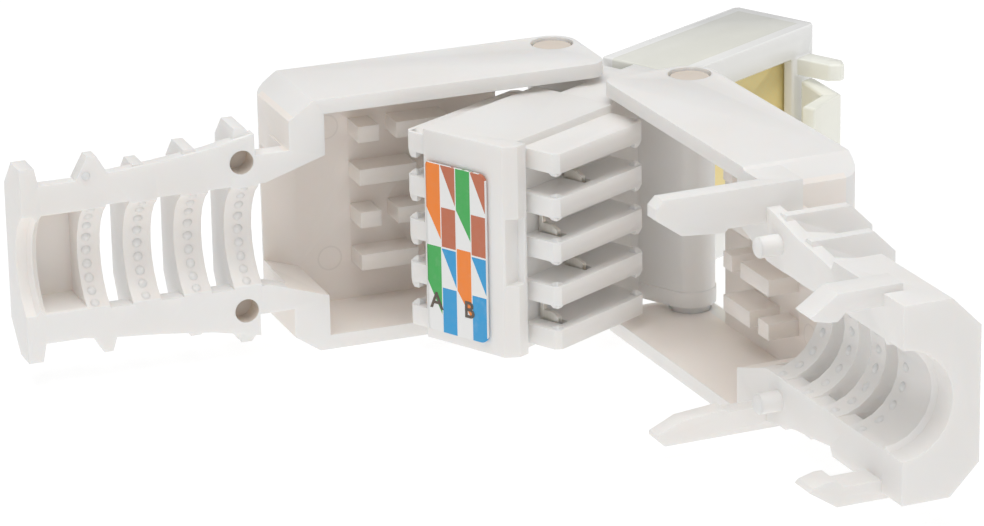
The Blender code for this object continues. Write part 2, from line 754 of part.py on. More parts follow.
def make_blades(look):
    """Forked blades that cut through a wire's sleeve and grip its core."""
    for number, (side, z, station) in enumerate(blade_places(), start=1):
        root = blade_root(side)
        tip = root + BLADE_LENGTH - BLADE_PLAY
        half = BLADE_HEIGHT / 2
        fork = BLADE_FORK / 2
        mouth = BLADE_FORK_MOUTH / 2
        outline = [
            (side * root, z - half),
            (side * tip, z - half),
            (side * tip, z - mouth),
            (side * (tip - mouth), z - fork),
            (side * (tip - BLADE_FORK_DEPTH), z - fork),
            (side * (tip - BLADE_FORK_DEPTH), z + fork),
            (side * (tip - mouth), z + fork),
            (side * tip, z + mouth),
            (side * tip, z + half),
            (side * root, z + half),
        ]
        blade = prism_y(outline, -station - BLADE_THICKNESS / 2, -station + BLADE_THICKNESS / 2)
        finish(blade, f"idc_blade_{number}", look)


def make_label(look):
    back = -CORE_BACK - LABEL_GAP
    x_span = (-LABEL_LEFT, -LABEL_LEFT + LABEL_WIDTH)
    z_span = (CORE_LOW + LABEL_LOW_MARGIN, CORE_HIGH - LABEL_HIGH_MARGIN)
    label = block(x_span, (back - LABEL_THICKNESS, back), z_span)
    return finish(label, "wiring_label", look)


def contact_heights():
    return [MID + CONTACT_PITCH * (i - (CONTACT_COUNT - 1) / 2) for i in range(CONTACT_COUNT)]


def contact_span():
    front = NOSE_FRONT - CONTACT_SETBACK
    return front - CONTACT_LENGTH, front


def guard_ears():
    """Two lugs either side of the latch that guard it at the front."""
    base = NOSE_RIGHT - NOSE_WALL / 2
    crest = NOSE_RIGHT + EAR_HEIGHT
    back = EAR_FRONT - EAR_LENGTH
    outline = [
        (base, back),
        (crest - EAR_CORNER, back),
        (crest, back + EAR_CORNER),
        (crest, EAR_FRONT - EAR_CORNER),
        (crest - EAR_CORNER, EAR_FRONT),
        (base, EAR_FRONT),
    ]
    centres = (MID - EAR_OFFSET, MID + EAR_OFFSET)
    return [prism_z(outline, z - EAR_WIDTH / 2, z + EAR_WIDTH / 2) for z in centres]


def make_clear_housing(look):
    low = MID - NOSE_WIDTH / 2
    high = MID + NOSE_WIDTH / 2
    plan = [
        (NOSE_LEFT, NOSE_BACK),
        (NOSE_RIGHT, NOSE_BACK),
        (NOSE_RIGHT, NOSE_FRONT - NOSE_EDGE),
        (NOSE_RIGHT - NOSE_EDGE, NOSE_FRONT),
        (NOSE_LEFT + NOSE_EDGE, NOSE_FRONT),
        (NOSE_LEFT, NOSE_FRONT - NOSE_EDGE),
    ]
    housing = joined(prism_z(plan, low, high), guard_ears())
    hollow = block(
        (NOSE_LEFT + NOSE_WALL, NOSE_RIGHT - NOSE_WALL),
        (NOSE_BACK - OVERRUN, NOSE_FRONT - NOSE_WALL),
        (low + NOSE_WALL, high - NOSE_WALL),
    )
    opening = block(
        (NOSE_RIGHT - NOSE_WALL - MERGE, NOSE_RIGHT + OVERRUN),
        (NOSE_BACK - OVERRUN, SIDE_OPENING_FRONT),
        (low + SIDE_OPENING_RAIL, high - SIDE_OPENING_RAIL),
    )
    back, front = contact_span()
    half = CONTACT_THICKNESS / 2 + CONTACT_PLAY
    slots = [
        block((NOSE_LEFT - OVERRUN, NOSE_LEFT + NOSE_WALL + MERGE),
              (back - CONTACT_PLAY, front + CONTACT_PLAY), (z - half, z + half))
        for z in contact_heights()
    ]
    housing = carved(housing, [hollow, opening] + slots)
    return finish(housing, "clear_housing", look)


def make_contacts(look):
    back, front = contact_span()
    x_span = (NOSE_LEFT + CONTACT_RECESS, BOARD_X - BOARD_EDGE_GAP)
    for number, z in enumerate(contact_heights(), start=1):
        half = CONTACT_THICKNESS / 2
        contact = block(x_span, (back, front), (z - half, z + half))
        finish(contact, f"contact_{number}", look)


def make_board(look):
    low, high = board_heights()
    board = block((BOARD_X, BOARD_X + BOARD_THICKNESS), (-BOARD_BACK, BOARD_FRONT), (low, high))
    return finish(board, "circuit_board", look)


def make_latch(look):
    """A strip that springs off the front edge and slopes away from the nose towards the back."""
    base = NOSE_RIGHT + LATCH_GAP
    knee = base + LATCH_KNEE_HEIGHT
    end = base + LATCH_END_HEIGHT
    side_view = [
        (base, LATCH_ROOT),
        (base, LATCH_ROOT - LATCH_THICKNESS),
        (knee - LATCH_THICKNESS / 2, LATCH_KNEE - LATCH_THICKNESS),
        (end, LATCH_END),
        (end + LATCH_THICKNESS, LATCH_END),
        (knee + LATCH_THICKNESS / 2, LATCH_KNEE),
        (base + LATCH_THICKNESS / 2, LATCH_ROOT),
    ]
    wide = LATCH_WIDTH / 2
    strip = prism_z(side_view, MID - wide, MID + wide)
    cuts = []
    for sign in (-1, 1):
        inner = MID + sign * LATCH_LEVER_WIDTH / 2
        outer = MID + sign * (wide + OVERRUN)
        x_span = (base - OVERRUN, end + LATCH_THICKNESS + OVERRUN)
        cuts.append(block(x_span, (LATCH_END - OVERRUN, LATCH_STEP), sorted((inner, outer))))
    latch = carved(strip, cuts)
    latch.data.transform(Matrix.Translation((-base, -LATCH_ROOT, 0)))
    latch.location = Vector((base, LATCH_ROOT, 0))
    return finish(latch, "latch_tab", look)


def centre_on_floor(objects):
    """Moves the whole plug so that the middle of its outline, seen from above, is the origin."""
    bpy.context.view_layer.update()
    places = [item.matrix_world @ vertex.co for item in objects for vertex in item.data.vertices]
    middle = [(min(p[i] for p in places) + max(p[i] for p in places)) / 2 for i in (0, 1)]
    for item in objects:
        item.location -= Vector((middle[0], middle[1], 0))


def main():
    clear_scene()
    white = material("white_plastic", WHITE, 0.42)
    clear = material("clear_plastic", (0.93, 0.94, 0.92), 0.08, alpha=0.35)
    make_left_shell(white)
    make_right_shell(white)
    make_wire_block(white)
    make_blades(material("blade_metal", (0.78, 0.75, 0.68), 0.3, metallic=1.0))
    make_label(material("label_print", (0.9, 0.9, 0.9), 0.5))
    make_clear_housing(clear)
    make_latch(clear)
    make_contacts(material("contact_gold", (0.85, 0.66, 0.25), 0.25, metallic=1.0))
    make_board(material("board_yellow", (0.86, 0.80, 0.45), 0.45))
    centre_on_floor(list(bpy.data.objects))


main()
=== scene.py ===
import json
import math

import bmesh
import bpy
import numpy as np
from bpy.props import FloatProperty, FloatVectorProperty, IntProperty, PointerProperty
from bpy.types import Operator, Panel, PropertyGroup
from mathutils import Matrix, Vector


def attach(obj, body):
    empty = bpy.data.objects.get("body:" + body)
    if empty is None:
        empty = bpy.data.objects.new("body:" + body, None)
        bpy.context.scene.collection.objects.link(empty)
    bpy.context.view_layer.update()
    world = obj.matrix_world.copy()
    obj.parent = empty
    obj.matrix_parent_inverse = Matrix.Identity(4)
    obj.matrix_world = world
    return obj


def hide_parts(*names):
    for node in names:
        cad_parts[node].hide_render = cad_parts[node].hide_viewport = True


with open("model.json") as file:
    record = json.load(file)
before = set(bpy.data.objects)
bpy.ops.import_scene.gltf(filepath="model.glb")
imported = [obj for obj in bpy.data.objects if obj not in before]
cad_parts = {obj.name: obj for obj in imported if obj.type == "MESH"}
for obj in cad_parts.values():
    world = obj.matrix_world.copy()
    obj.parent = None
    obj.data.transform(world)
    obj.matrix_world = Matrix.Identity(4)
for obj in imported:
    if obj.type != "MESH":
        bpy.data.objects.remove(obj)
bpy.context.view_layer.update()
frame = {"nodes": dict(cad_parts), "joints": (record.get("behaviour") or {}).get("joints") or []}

bl_info = {
    "name": "Network plug dresser",
    "version": (1, 0, 0),
    "blender": (4, 5, 0),
    "location": "View3D > Sidebar > Plug",
    "description": "Dresses a tool-less network plug with its mouldings, metal, board and print",
    "category": "Object",
}

MM = 0.001
NODES = frame["nodes"]
HINGES = {joint["child"]: joint for joint in frame["joints"]}

HINGE_OFFSET = 4.8 * MM
SIDES = ((-1, "left"), (1, "right"))
PART = 0.15 * MM
INNER_DEPTH = 5.35 * MM
BODY_END = 17.0 * MM
NOSE_LEFT = -3.6 * MM
NOSE_RIGHT = 2.1 * MM
NOSE_FRONT = 15.3 * MM
NOSE_WALL = 0.75 * MM
SIDE_WALL = 0.8 * MM
PIP_PLACE = (28.3 * MM, 11.73 * MM)
PIP_RADIUS = 0.24 * MM
PIP_RISE = 0.09 * MM
OPEN_DEG = {-1: 28.9, 1: 63.6}
CENTRE = HINGES["right_half"]["pos_m"][0] - HINGE_OFFSET, HINGES["right_half"]["pos_m"][1]
MIDDLE = 7.1 * MM
FIRST_RIB = 18.8 * MM
RIB_PITCH = 2.83 * MM
RIB_WIDTH = 1.55 * MM
RIB_COUNT = 4
CABLE_RADIUS = 2.9 * MM
LEFT_SEAT_OFFSET = 1.6 * MM
PEG_STATION = 19.7 * MM
PEG_OFFSET = 4.2 * MM
PEG_LENGTH = 1.0 * MM
PEG_RADIUS = 0.55 * MM
PIN_RADIUS = 1.07 * MM
FINGER_PITCH = 2.46 * MM
FINGER_HALF = 0.55 * MM
BLOCK_PLACES = ((4.25, -10.9), (4.25, -4.6), (-3.8, -12.4), (-3.8, -4.4))
BARB_PLACES = (
    (4.44, -11.09, 0.53), (4.44, -4.41, 0.85), (-3.99, -12.59, 1.0), (-3.99, -4.21, 0.85))
HANGING_HALVES = (0.17, 0.25, 0.27)
STANDING_HALVES = (0.27, 0.20, 0.05)
BARB_SUNK = 0.05 * MM
BARB_EDGE = 0.04 * MM
BLOCK_HALF = 0.32 * MM
BLOCK_RISE = 0.2 * MM
POCKET_WALL = 29.14 * MM
POCKET_SHIFT = 0.6 * MM
POCKET_END = 30.95 * MM
POCKET_HALF_HEIGHT = 2.75 * MM
SEAT_DEPTH = 3.2 * MM
PEG_HOLE_RADIUS = 0.72 * MM
PEG_HOLE_DEPTH = 2.0 * MM
MARK_RADII = (0.62 * MM, 0.72 * MM)
PIN_TOP = 13.2 * MM
MOULD_MARKS = ((13.15, 3.3), (13.15, 10.9), (5.2, 7.1))
LABEL_X = (-2.6 * MM, 1.55 * MM)
LABEL_Z = (1.85 * MM, 11.3 * MM)
LABEL_FACE = -13.45 * MM
LABEL_THICKNESS = 0.15 * MM
LETTER_HALF_DEPTH = 0.01 * MM
LETTER_LIFT = 0.012 * MM
COLUMN_GAP = 0.03
PRINT = (
    (("orange", (0.0, 0.0), (0.26, 0.45)), ("green", (0.49, 0.49), (0.70, 0.90))),
    (("brown", (0.0, 0.0), (0.0, 0.235)), ("brown", (0.25, 0.25), (0.485, 0.485)),
     ("blue", (0.495, 0.495), (0.495, 0.72)), ("blue", (0.73, 0.73), (1.0, 1.0))),
    (("green", (0.0, 0.0), (0.24, 0.42)), ("orange", (0.475, 0.475), (0.72, 0.88))),
    (("brown", (0.0, 0.0), (0.0, 0.235)), ("brown", (0.25, 0.25), (0.49, 0.49)),
     ("blue", (0.50, 0.50), (0.50, 0.72)), ("blue", (0.73, 0.73), (1.0, 1.0))),
)
LETTERS = (("A", -1.97, 3.53), ("B", 0.31, 3.47))


def hinge_axis(body):
    return Vector(HINGES[body]["pos_m"])


class PlugFinish(PropertyGroup):
    """Colours and edge sizes of the plug's mouldings and metal."""

    white: FloatVectorProperty(
        name="White plastic", description="Colour of the shells and the wire block",
        subtype="COLOR", size=3, min=0, max=1, default=(0.86, 0.85, 0.835))
    hollow: FloatVectorProperty(
        # Painted shade: a warm beige put in the shells' hollows for the shade there and the light
        # the thin plastic passes on.
        name="Hollows", description="Warmer tone of the plastic inside the wire spaces",
        subtype="COLOR", size=3, min=0, max=1, default=(0.90, 0.845, 0.795))
    # Painted shade: the darker beige on the hinge pins' ends, sunk in the shells' holes, and inside
    # the shells' peg holes.
    pin: FloatVectorProperty(
        name="Pin ends", description="Colour of the hinge pins' rubbed ends",
        subtype="COLOR", size=3, min=0, max=1, default=(0.70, 0.62, 0.54))
    clear: FloatVectorProperty(
        name="Clear plastic", description="Tint of the nose and the latch",
        subtype="COLOR", size=3, min=0, max=1, default=(1.0, 1.0, 0.92))
    board: FloatVectorProperty(
        name="Board", description="Colour of the circuit board's laminate",
        subtype="COLOR", size=3, min=0, max=1, default=(1.0, 0.80, 0.34))
    gold: FloatVectorProperty(
        name="Gold", description="Colour of the contacts",
        subtype="COLOR", size=3, min=0, max=1, default=(0.93, 0.70, 0.28))
    tin: FloatVectorProperty(
        name="Tin", description="Colour of the wire blades",
        subtype="COLOR", size=3, min=0, max=1, default=(0.97, 0.95, 0.90))
    edge: FloatProperty(
        name="Edge radius", description="Round on the edges of the white mouldings",
        unit="LENGTH", min=0, max=0.5 * MM, default=0.12 * MM)
    clear_edge: FloatProperty(
        name="Clear edge radius", description="Round on the edges of the clear mouldings",
        unit="LENGTH", min=0, max=0.5 * MM, default=0.15 * MM)
    metal_edge: FloatProperty(
        name="Metal edge radius", description="Round on the edges of blades and contacts",
        unit="LENGTH", min=0, max=0.2 * MM, default=0.03 * MM)
    edge_steps: IntProperty(
        name="Edge steps", description="Facets across each rounded edge", min=1, max=6, default=3)


class PlugDetail(PropertyGroup):
    """Sizes of the small moulded details."""

    stud_radius: FloatProperty(
        name="Stud radius", description="Radius of the gripping studs inside the ribs",
        unit="LENGTH", min=0.1 * MM, max=0.4 * MM, default=0.27 * MM)
    stud_rise: FloatProperty(
        name="Stud rise", description="Height of the gripping studs", unit="LENGTH",
        min=0.03 * MM, max=0.3 * MM, default=0.12 * MM)
    stud_count: IntProperty(
        name="Studs a rib", description="Gripping studs across one rib", min=3, max=15, default=9)
    barb_drop: FloatProperty(
        name="Barb drop", description="How far the barbs stand below the fingers", unit="LENGTH",
        min=0.2 * MM, max=0.6 * MM, default=0.42 * MM)
    barb_rise: FloatProperty(
        name="Barb rise", description="How far the barbs stand above the fingers", unit="LENGTH",
        min=0.2 * MM, max=0.5 * MM, default=0.28 * MM)
    peg_dome: FloatProperty(
        name="Peg dome", description="Rise of the pegs' round ends", unit="LENGTH",
        min=0.0, max=0.35 * MM, default=0.22 * MM)


class PlugPrint(PropertyGroup):
    """Colours of the wiring label."""

    paper: FloatVectorProperty(
        name="Label white", description="Unprinted colour of the label",
        subtype="COLOR", size=3, min=0, max=1, default=(0.86, 0.86, 0.85))
    orange: FloatVectorProperty(
        name="Orange", description="First printed colour",
        subtype="COLOR", size=3, min=0, max=1, default=(0.95, 0.24, 0.012))
    green: FloatVectorProperty(
        name="Green", description="Second printed colour",
        subtype="COLOR", size=3, min=0, max=1, default=(0.04, 0.43, 0.08))
    brown: FloatVectorProperty(
        name="Brown", description="Third printed colour",
        subtype="COLOR", size=3, min=0, max=1, default=(0.56, 0.15, 0.065))
    blue: FloatVectorProperty(
        name="Blue", description="Fourth printed colour",
        subtype="COLOR", size=3, min=0, max=1, default=(0.012, 0.34, 0.70))
    ink: FloatVectorProperty(
        name="Letter ink", description="Colour of the two letters",
        subtype="COLOR", size=3, min=0, max=1, default=(0.08, 0.07, 0.06))
    corner: FloatProperty(
        name="Label corner", description="Radius of the label's outer corners", unit="LENGTH",
        min=0.1 * MM, max=1.0 * MM, default=0.45 * MM)
    letter_size: FloatProperty(
        name="Letter size", description="Size of the two letters", unit="LENGTH",
        min=0.4 * MM, max=2.0 * MM, default=1.3 * MM)


class PlugStage(PropertyGroup):
    """Camera, floor and lights."""

    eye: FloatVectorProperty(
        name="Camera place", description="Where the camera stands",
        subtype="TRANSLATION", unit="LENGTH", size=3, default=(0.14334, -0.18182, 0.08794))
    azimuth: FloatProperty(
        name="Azimuth", description="Angle of the camera round the plug", subtype="ANGLE",
        default=math.radians(40.23))
    elevation: FloatProperty(
        name="Elevation", description="Angle of the camera above the floor", subtype="ANGLE",
        default=math.radians(19.47))
    roll: FloatProperty(
        name="Roll", description="Turn of the camera about its own line of sight", subtype="ANGLE",
        default=math.radians(-1.07))
    lens: FloatProperty(
        name="Lens", description="Focal length on a 36 mm sensor, in millimetres", min=20, max=400,
        default=169.0)
    floor_size: FloatProperty(
        name="Floor size", description="Side of the square floor", unit="LENGTH", default=1.6)
    key: FloatProperty(
        name="Key light", description="Power of the large soft light, in watts", default=0.82)
    fill: FloatProperty(
        name="Fill light", description="Power of the low light beside the camera, in watts",
        default=0.05)
    sky: FloatProperty(
        name="Surround", description="Strength of the even white surround", default=0.46)


class Signal:
    """A number that a shader works out at each point. Arithmetic on it adds Math nodes."""

    def __init__(self, look, socket):
        self.look = look
        self.socket = socket

    def _math(self, operation, *values):
        made = self.look.node("ShaderNodeMath", {"operation": operation}, *values)
        return Signal(self.look, made.outputs[0])

    def __add__(self, other):
        return self._math("ADD", self, other)

    def __radd__(self, other):
        return self._math("ADD", other, self)

    def __sub__(self, other):
        return self._math("SUBTRACT", self, other)

    def __rsub__(self, other):
        return self._math("SUBTRACT", other, self)

    def __mul__(self, other):
        return self._math("MULTIPLY", self, other)

    def __rmul__(self, other):
        return self._math("MULTIPLY", other, self)

    def __truediv__(self, other):
        return self._math("DIVIDE", self, other)

    def above(self, limit):
        return self._math("GREATER_THAN", self, limit)

    def below(self, limit):
        return self._math("LESS_THAN", self, limit)

    def between(self, low, high):
        return self.above(low) * self.below(high)

    def wrapped(self, period):
        """The remainder after division by the period, never negative."""
        return self._math("FLOORED_MODULO", self, period)

    def size(self):
        return self._math("ABSOLUTE", self)

    def most(self, other):
        return self._math("MAXIMUM", self, other)


class Look:
    """A Principled material whose varying sockets are fed by expressions."""

    def __init__(self, name, colour, roughness, **constants):
        self.material = bpy.data.materials.new(name)
        self.material.use_nodes = True
        self.tree = self.material.node_tree
        self.shader = self.tree.nodes["Principled BSDF"]
        self.set(self.shader.inputs["Base Color"], colour)
        self.set(self.shader.inputs["Roughness"], roughness)
        for socket, value in constants.items():
            self.set(self.shader.inputs[socket.replace("_", " ")], value)

    def set(self, socket, value):
        if isinstance(value, Signal):
            self.tree.links.new(value.socket, socket)
        elif isinstance(value, bpy.types.NodeSocket):
            self.tree.links.new(value, socket)
        elif socket.type == "RGBA" and len(value) == 3:
            socket.default_value = (*value, 1.0)
        else:
            socket.default_value = value

    def node(self, kind, settings=None, *values, **named):
        made = self.tree.nodes.new(kind)
        for key, value in (settings or {}).items():
            setattr(made, key, value)
        for socket, value in zip(made.inputs, values):
            self.set(socket, value)
        for key, value in named.items():
            self.set(made.inputs[key.replace("_", " ")], value)
        return made

    def place(self):
        """The point's own coordinates, as three signals in metres."""
        where = self.node("ShaderNodeTexCoord").outputs["Object"]
        split = self.node("ShaderNodeSeparateXYZ", None, where)
        return [Signal(self, output) for output in split.outputs]

    def noise(self, scale, detail=2.0, roughness=0.5):
        """Smooth random values around a half, with lumps of about one over the scale in metres."""
        where = self.node("ShaderNodeTexCoord").outputs["Object"]
        made = self.node("ShaderNodeTexNoise", None, Vector=where, Scale=scale,
                         Detail=detail, Roughness=roughness)
        return Signal(self, made.outputs["Fac"])

    def blend(self, mask, first, second):
        """The first colour where the mask is 0 and the second where it is 1."""
        made = self.node("ShaderNodeMix", {"data_type": "RGBA"})
        self.set(made.inputs[0], mask)
        self.set(made.inputs[6], first)
        self.set(made.inputs[7], second)
        return made.outputs[2]

    def bump(self, height, distance, strength=1.0):
        made = self.node("ShaderNodeBump", None, Strength=strength, Distance=distance,
                         Height=height)
        self.set(self.shader.inputs["Normal"], made.outputs["Normal"])

    def feed(self, socket, value):
        self.set(self.shader.inputs[socket], value)


def white_look(finish, side):
    """Satin moulded plastic of one half shell: flow clouds, gloss changes, grain and painted warm
    shade in the hollows.

    The hollows are the wire space, the tail's cable trough and pocket, and the two peg holes. Their
    beige is painted shade and painted light, for the shade in them and the light that the thin
    white plastic passes on; the peg holes take the darker painted bore shade.
    """
    tone = tuple(finish.white)
    look = Look(f"white_plastic_look_{'right' if side > 0 else 'left'}", tone, 0.4,
                Subsurface_Weight=0.3, Subsurface_Radius=(1.0, 0.8, 0.65),
                Subsurface_Scale=0.6 * MM, IOR=1.5)
    depth, along, height = shell_place(look, side)
    level = (height - MIDDLE).size()
    # Mask of the wire space, which takes the painted warm shade.
    space = along.below(BODY_END + 0.3 * MM) * depth.between(0.2 * MM, INNER_DEPTH + 0.03 * MM)
    space = space * level.below(MIDDLE - SIDE_WALL + 0.03 * MM)
    seat = depth + (LEFT_SEAT_OFFSET if side < 0 else 0.0)
    trough = (seat * seat + level * level).below((math.hypot(
        CABLE_RADIUS, LEFT_SEAT_OFFSET if side < 0 else 0.0) + 0.1 * MM) ** 2)
    pocket = along.between(POCKET_WALL - POCKET_SHIFT - 0.05 * MM, POCKET_END)
    pocket = pocket * level.below(POCKET_HALF_HEIGHT)
    # Painted shade in the tail's cable trough and pocket, strong on the left shell and faint on the
    # right.
    shady = trough.most(pocket) * along.above(BODY_END) * depth.between(0.2 * MM, SEAT_DEPTH)
    space = space.most(shady * (0.55 if side < 0 else 0.12))
    peg_along, peg_level = along - PEG_STATION, level - PEG_OFFSET
    off_peg = peg_along * peg_along + peg_level * peg_level
    # Mask of the peg holes, which take painted shade inside the bore.
    hole = off_peg.below(PEG_HOLE_RADIUS ** 2) * depth.between(0.2 * MM, PEG_HOLE_DEPTH)
    plain = look.blend(flow_clouds(look), tone, warmed(tone))
    hollow = tuple(finish.hollow)
    # Painted warm shade over the hollows, made patchy by noise.
    shaded = look.blend(space * (0.75 + 0.5 * look.noise(300.0, 2.0)), plain, hollow)
    floor = space * depth.above(INNER_DEPTH - 0.1 * MM)
    marks = None
    for far, high in MOULD_MARKS:
        mark_along, mark_height = along - far * MM, height - high * MM
        reach = mark_along * mark_along + mark_height * mark_height
        ring = reach.between(MARK_RADII[0] ** 2, MARK_RADII[1] ** 2)
        marks = ring if marks is None else marks.most(ring)
    marks = marks * floor
    # The ejector rings on the cavity floor are drawn darker than the painted shade of the hollows.
    shaded = look.blend(marks * 0.35, shaded, tuple(0.8 * value for value in hollow))
    # Painted shade inside the peg holes, in the bore shade colour.
    look.feed("Base Color", look.blend(hole * 0.8, shaded, tuple(finish.pin)))
    look.feed("Roughness", 0.36 + 0.14 * look.noise(700.0, 2.0))
    grain = look.noise(5200.0, 2.0, 0.6) + 0.6 * look.noise(900.0, 1.0)
    look.bump(grain - 2.0 * marks, 0.006 * MM, 0.3)
    return look.material


def shell_place(look, side):
    """Signals of a half shell's own depth, distance from the hinge, and height."""
    x, y, z = look.place()
    hinge = hinge_axis("right_half" if side > 0 else "left_half")
    turn = math.radians(OPEN_DEG[side])
    across = (x - hinge.x) * float(side)
    forward = y - hinge.y
    depth = across * math.cos(turn) + forward * math.sin(turn) + HINGE_OFFSET
    along = across * math.sin(turn) - forward * math.cos(turn)
    return depth, along, z


def block_look(finish):
    """The white plastic of the wire block, with painted shade and a little more roughness on the
    ends of its two hinge pins, which sit sunk in the shells' holes.
    """
    tone = tuple(finish.white)
    look = Look("block_plastic_look", tone, 0.4, Subsurface_Weight=0.3,
                Subsurface_Radius=(1.0, 0.8, 0.65), Subsurface_Scale=0.6 * MM, IOR=1.5)
    x, y, z = look.place()
    pins = None
    for body in ("left_half", "right_half"):
        hinge = hinge_axis(body)
        reach = (x - hinge.x) * (x - hinge.x) + (y - hinge.y) * (y - hinge.y)
        disc = reach.below((PIN_RADIUS + 0.05 * MM) ** 2) * z.above(PIN_TOP)
        pins = disc if pins is None else pins.most(disc)
    plain = look.blend(flow_clouds(look), tone, warmed(tone))
    # Painted shade on the ends of the hinge pins, in the bore shade colour.
    look.feed("Base Color", look.blend(pins, plain, tuple(finish.pin)))
    look.feed("Roughness", 0.36 + 0.14 * look.noise(700.0, 2.0) + 0.15 * pins)
    look.bump(look.noise(5200.0, 2.0, 0.6) + 0.6 * look.noise(900.0, 1.0), 0.006 * MM, 0.3)
    return look.material


def flow_clouds(look):
    """Slow changes of tone, as the melt leaves them in a thin moulding, from 0 to 1."""
    return (look.noise(150.0, 3.0, 0.55) - 0.36) * 1.8


def warmed(tone):
    return tuple(value * factor for value, factor in zip(tone, (0.97, 0.945, 0.92)))


def clear_look(finish):
    """Clear moulded plastic, a little more opaque in the nose's side and front walls than over its
    cavity, and painted whiter there as painted light.
    """
    look = Look("clear_plastic_look", tuple(finish.clear), 0.06, Alpha=0.64,
                IOR=1.49, Specular_IOR_Level=0.5, Coat_Weight=0.3)
    x, y, _ = look.place()
    left, right, front = (CENTRE[0] + NOSE_LEFT, CENTRE[0] + NOSE_RIGHT, CENTRE[1] + NOSE_FRONT)
    # Mask of the nose's side and front walls, which get painted light and more opacity.
    wall = (x - left).below(NOSE_WALL).most((right - x).below(NOSE_WALL))
    wall = wall.most((front - y).below(NOSE_WALL)) * x.below(right + 0.1 * MM)
    flow = look.noise(260.0, 3.0, 0.55)
    # Painted light: the walls are coloured near white for the light seen in them.
    look.feed("Base Color", look.blend(wall, tuple(finish.clear), (1.0, 1.0, 0.99)))
    look.feed("Alpha", 0.70 + 0.14 * wall + 0.08 * flow)
    look.feed("Roughness", 0.04 + 0.08 * flow)
    look.bump(flow + 0.25 * look.noise(1400.0, 2.0), 0.02 * MM, 0.35)
    return look.material


def metal_look(name, colour, roughness, streaks):
    """Plated strip metal with fine streaks along the direction of rolling."""
    look = Look(name, colour, roughness, Metallic=1.0)
    where = look.node("ShaderNodeTexCoord").outputs["Object"]
    stretched = look.node("ShaderNodeVectorMath", {"operation": "MULTIPLY"}, where, streaks)
    lines = look.node("ShaderNodeTexNoise", None, Vector=stretched.outputs[0],
                      Scale=1.0, Detail=2.0)
    grain = Signal(look, lines.outputs["Fac"])
    look.feed("Roughness", roughness - 0.08 + 0.16 * grain)
    dull = tuple(value * 0.82 for value in colour)
    look.feed("Base Color", look.blend(grain, dull, colour))
    return look.material


def board_look(finish):
    """Laminate with a woven glass pattern under its surface and paler cloudy patches."""
    look = Look("board_look", tuple(finish.board), 0.42)
    _, y, z = look.place()
    weave = (y.wrapped(0.5 * MM).below(0.25 * MM) - z.wrapped(0.5 * MM).below(0.25 * MM)).size()
    cloud = look.noise(400.0, 2.0)
    base = look.blend(cloud * 0.6 + weave * 0.15, tuple(finish.board), (0.93, 0.86, 0.52))
    look.feed("Base Color", base)
    look.feed("Roughness", 0.36 + 0.14 * weave)
    return look.material


def label_look(colours):
    """Printed label: four columns of solid and slanting colour patches on white, with dull ink.

    A patch lies in one column, below the line from its two upper heights and above the line
    between its two lower heights, both counted down from the label's top as shares of its height.
    """
    look = Look("label_look", tuple(colours.paper), 0.5)
    x, _, z = look.place()
    across = (x - (CENTRE[0] + LABEL_X[0])) / (LABEL_X[1] - LABEL_X[0]) * 4.0
    down = (LABEL_Z[1] - z) / (LABEL_Z[1] - LABEL_Z[0])
    ink = look.noise(2600.0, 2.0)
    wear = look.noise(700.0, 3.0, 0.6)
    shade = tuple(colours.paper)
    printed = None
    for column, patches in enumerate(PRINT):
        here = across.between(column + COLUMN_GAP, column + 1 - COLUMN_GAP)
        local = across - float(column)
        for colour, top, bottom in patches:
            below_top = (down - (local * (top[1] - top[0]) + top[0])).above(0.0)
            above_bottom = ((local * (bottom[1] - bottom[0]) + bottom[0]) - down).above(0.0)
            patch = here * below_top * above_bottom
            dyed = look.blend(ink, tuple(getattr(colours, colour)), paler(getattr(colours, colour)))
            shade = look.blend(patch, shade, dyed)
            printed = patch if printed is None else printed.most(patch)
    look.feed("Base Color", look.blend((wear - 0.62) * 0.6, shade, tuple(colours.paper)))
    look.feed("Roughness", 0.52 - 0.14 * printed + 0.1 * ink)
    look.bump(printed * 0.5 + ink * 0.15, 0.004 * MM, 0.5)
    return look.material


def paler(colour):
    return tuple(0.88 * value + 0.05 for value in colour)


def place_mesh(name, verts, faces, body, material, smooth=True):
    """Makes a mesh object from arrays of points and faces, riding on a body."""
    mesh = bpy.data.meshes.new(name)
    mesh.from_pydata(np.asarray(verts, float).tolist(), [], [list(face) for face in faces])
    mesh.update()
    made = bpy.data.objects.new(name, mesh)
    bpy.context.scene.collection.objects.link(made)
    mesh.materials.append(material)
    if smooth:
        mesh.shade_smooth()
        mesh.set_sharp_from_angle(angle=math.radians(35))
    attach(made, body)
    return made


def moulding(node, name, body, material, edge, steps, reshape=None):
    """A copy of a solid, its loose triangles merged, with every sharp edge rounded by a fillet.

    The reshape function, where there is one, takes the array of its points and returns them moved.
    """
    mesh = NODES[node].data.copy()
    mesh.name = name
    if reshape:
        points = np.empty(len(mesh.vertices) * 3, np.float32)
        mesh.vertices.foreach_get("co", points)
        mesh.vertices.foreach_set("co", reshape(points.reshape(-1, 3)).astype(np.float32).ravel())
    made = bpy.data.objects.new(name, mesh)
    bpy.context.scene.collection.objects.link(made)
    joined = bmesh.new()
    joined.from_mesh(mesh)
    bmesh.ops.remove_doubles(joined, verts=joined.verts, dist=0.002 * MM)
    bmesh.ops.dissolve_degenerate(joined, edges=joined.edges, dist=0.002 * MM)
    joined.to_mesh(mesh)
    joined.free()
    mesh.shade_smooth()
    mesh.materials.clear()
    mesh.materials.append(material)
    fillet = made.modifiers.new("fillet", "BEVEL")
    fillet.width = edge
    fillet.segments = steps
    fillet.limit_method = "ANGLE"
    fillet.angle_limit = math.radians(28)
    fillet.use_clamp_overlap = True
    fillet.harden_normals = True
    fillet.miter_outer = "MITER_ARC"
    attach(made, body)
    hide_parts(node)
    return made


